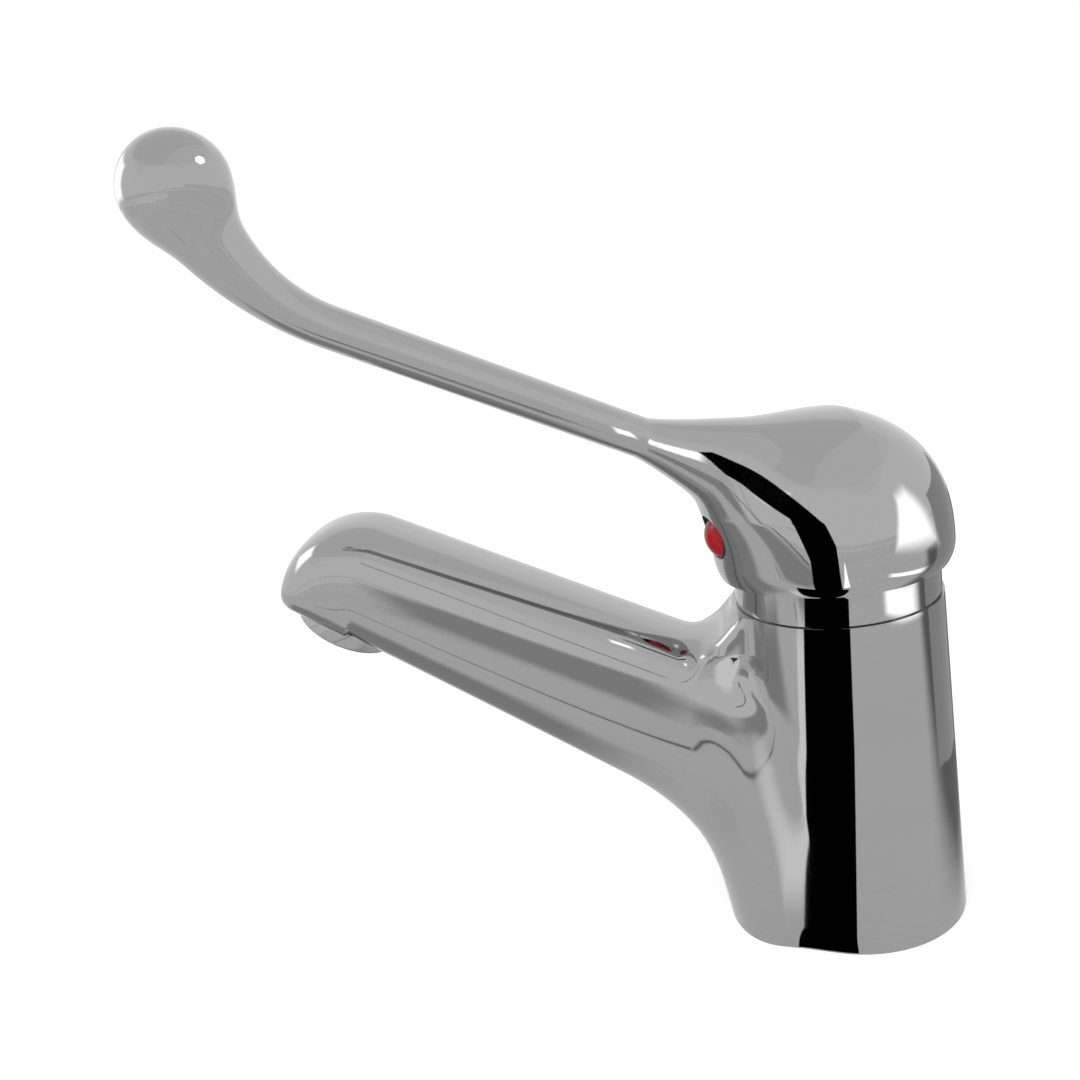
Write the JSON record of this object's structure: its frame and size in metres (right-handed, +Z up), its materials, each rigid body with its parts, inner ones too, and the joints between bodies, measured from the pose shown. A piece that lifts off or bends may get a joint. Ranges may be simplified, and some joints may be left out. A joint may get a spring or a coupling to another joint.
{
  "type": "basin mixer tap",
  "caption": "Single-lever basin mixer tap with a rising spout, aerator and a long elbow-operated lever ending in a ball.",
  "frame": {"origin": "middle of the foot on the deck", "axes": "+Z up along the column's axis, the spout runs along -Y, +X is the user's right when facing the spout"},
  "size_m": [0.0876, 0.1618, 0.205],
  "materials": {
    "chrome": "polished chrome plate",
    "brass": "machined brass",
    "white_plastic": "moulded, fine satin",
    "grey_plastic": "moulded, fine satin",
    "black_plastic": "moulded, fine satin",
    "ceramic": "lapped ceramic",
    "rubber": "moulded rubber",
    "steel": "turned stainless steel",
    "red_lens": "glossy tinted dome"
  },
  "bodies": {
    "body": {"body_casting": "chrome", "collar_ring": "chrome", "cartridge_nut": "brass", "cartridge_housing": "white_plastic", "cartridge_base": "grey_plastic", "port_seals": "rubber", "disc_gasket": "rubber", "fixed_disc": "ceramic", "aerator_housing": "chrome", "aerator_insert": "white_plastic", "aerator_screen": "steel", "aerator_washer": "rubber", "base_gasket": "rubber"},
    "carrier": {"stem_carrier": "black_plastic", "pivot_pin": "steel"},
    "disc": {"moving_disc": "ceramic", "disc_driver": "grey_plastic"},
    "handle": {"lever_casting": "chrome", "control_stem": "brass", "stem_sleeve": "white_plastic", "grub_screw": "steel", "index_plug": "black_plastic", "index_lens": "red_lens"}
  },
  "joints": [
    {"name": "handle_turn", "type": "hinge", "parent": "body", "child": "carrier", "pos_m": [0, 0, 0.0862], "axis": [0, 0, 1], "range_deg": [-67, 23]},
    {"name": "handle_lift", "type": "hinge", "parent": "carrier", "child": "handle", "pos_m": [0, 0, 0.0862], "axis": [-0.9272, -0.3746, 0], "range_deg": [0, 18]},
    {"name": "disc_slide", "type": "slide", "parent": "carrier", "child": "disc", "axis": [0.3746, -0.9272, 0], "range_m": [0, 0.0038]}
  ],
  "couplings": [
    {"joint": "disc_slide", "follows": "handle_lift", "m_per_rad": 0.0118}
  ]
}
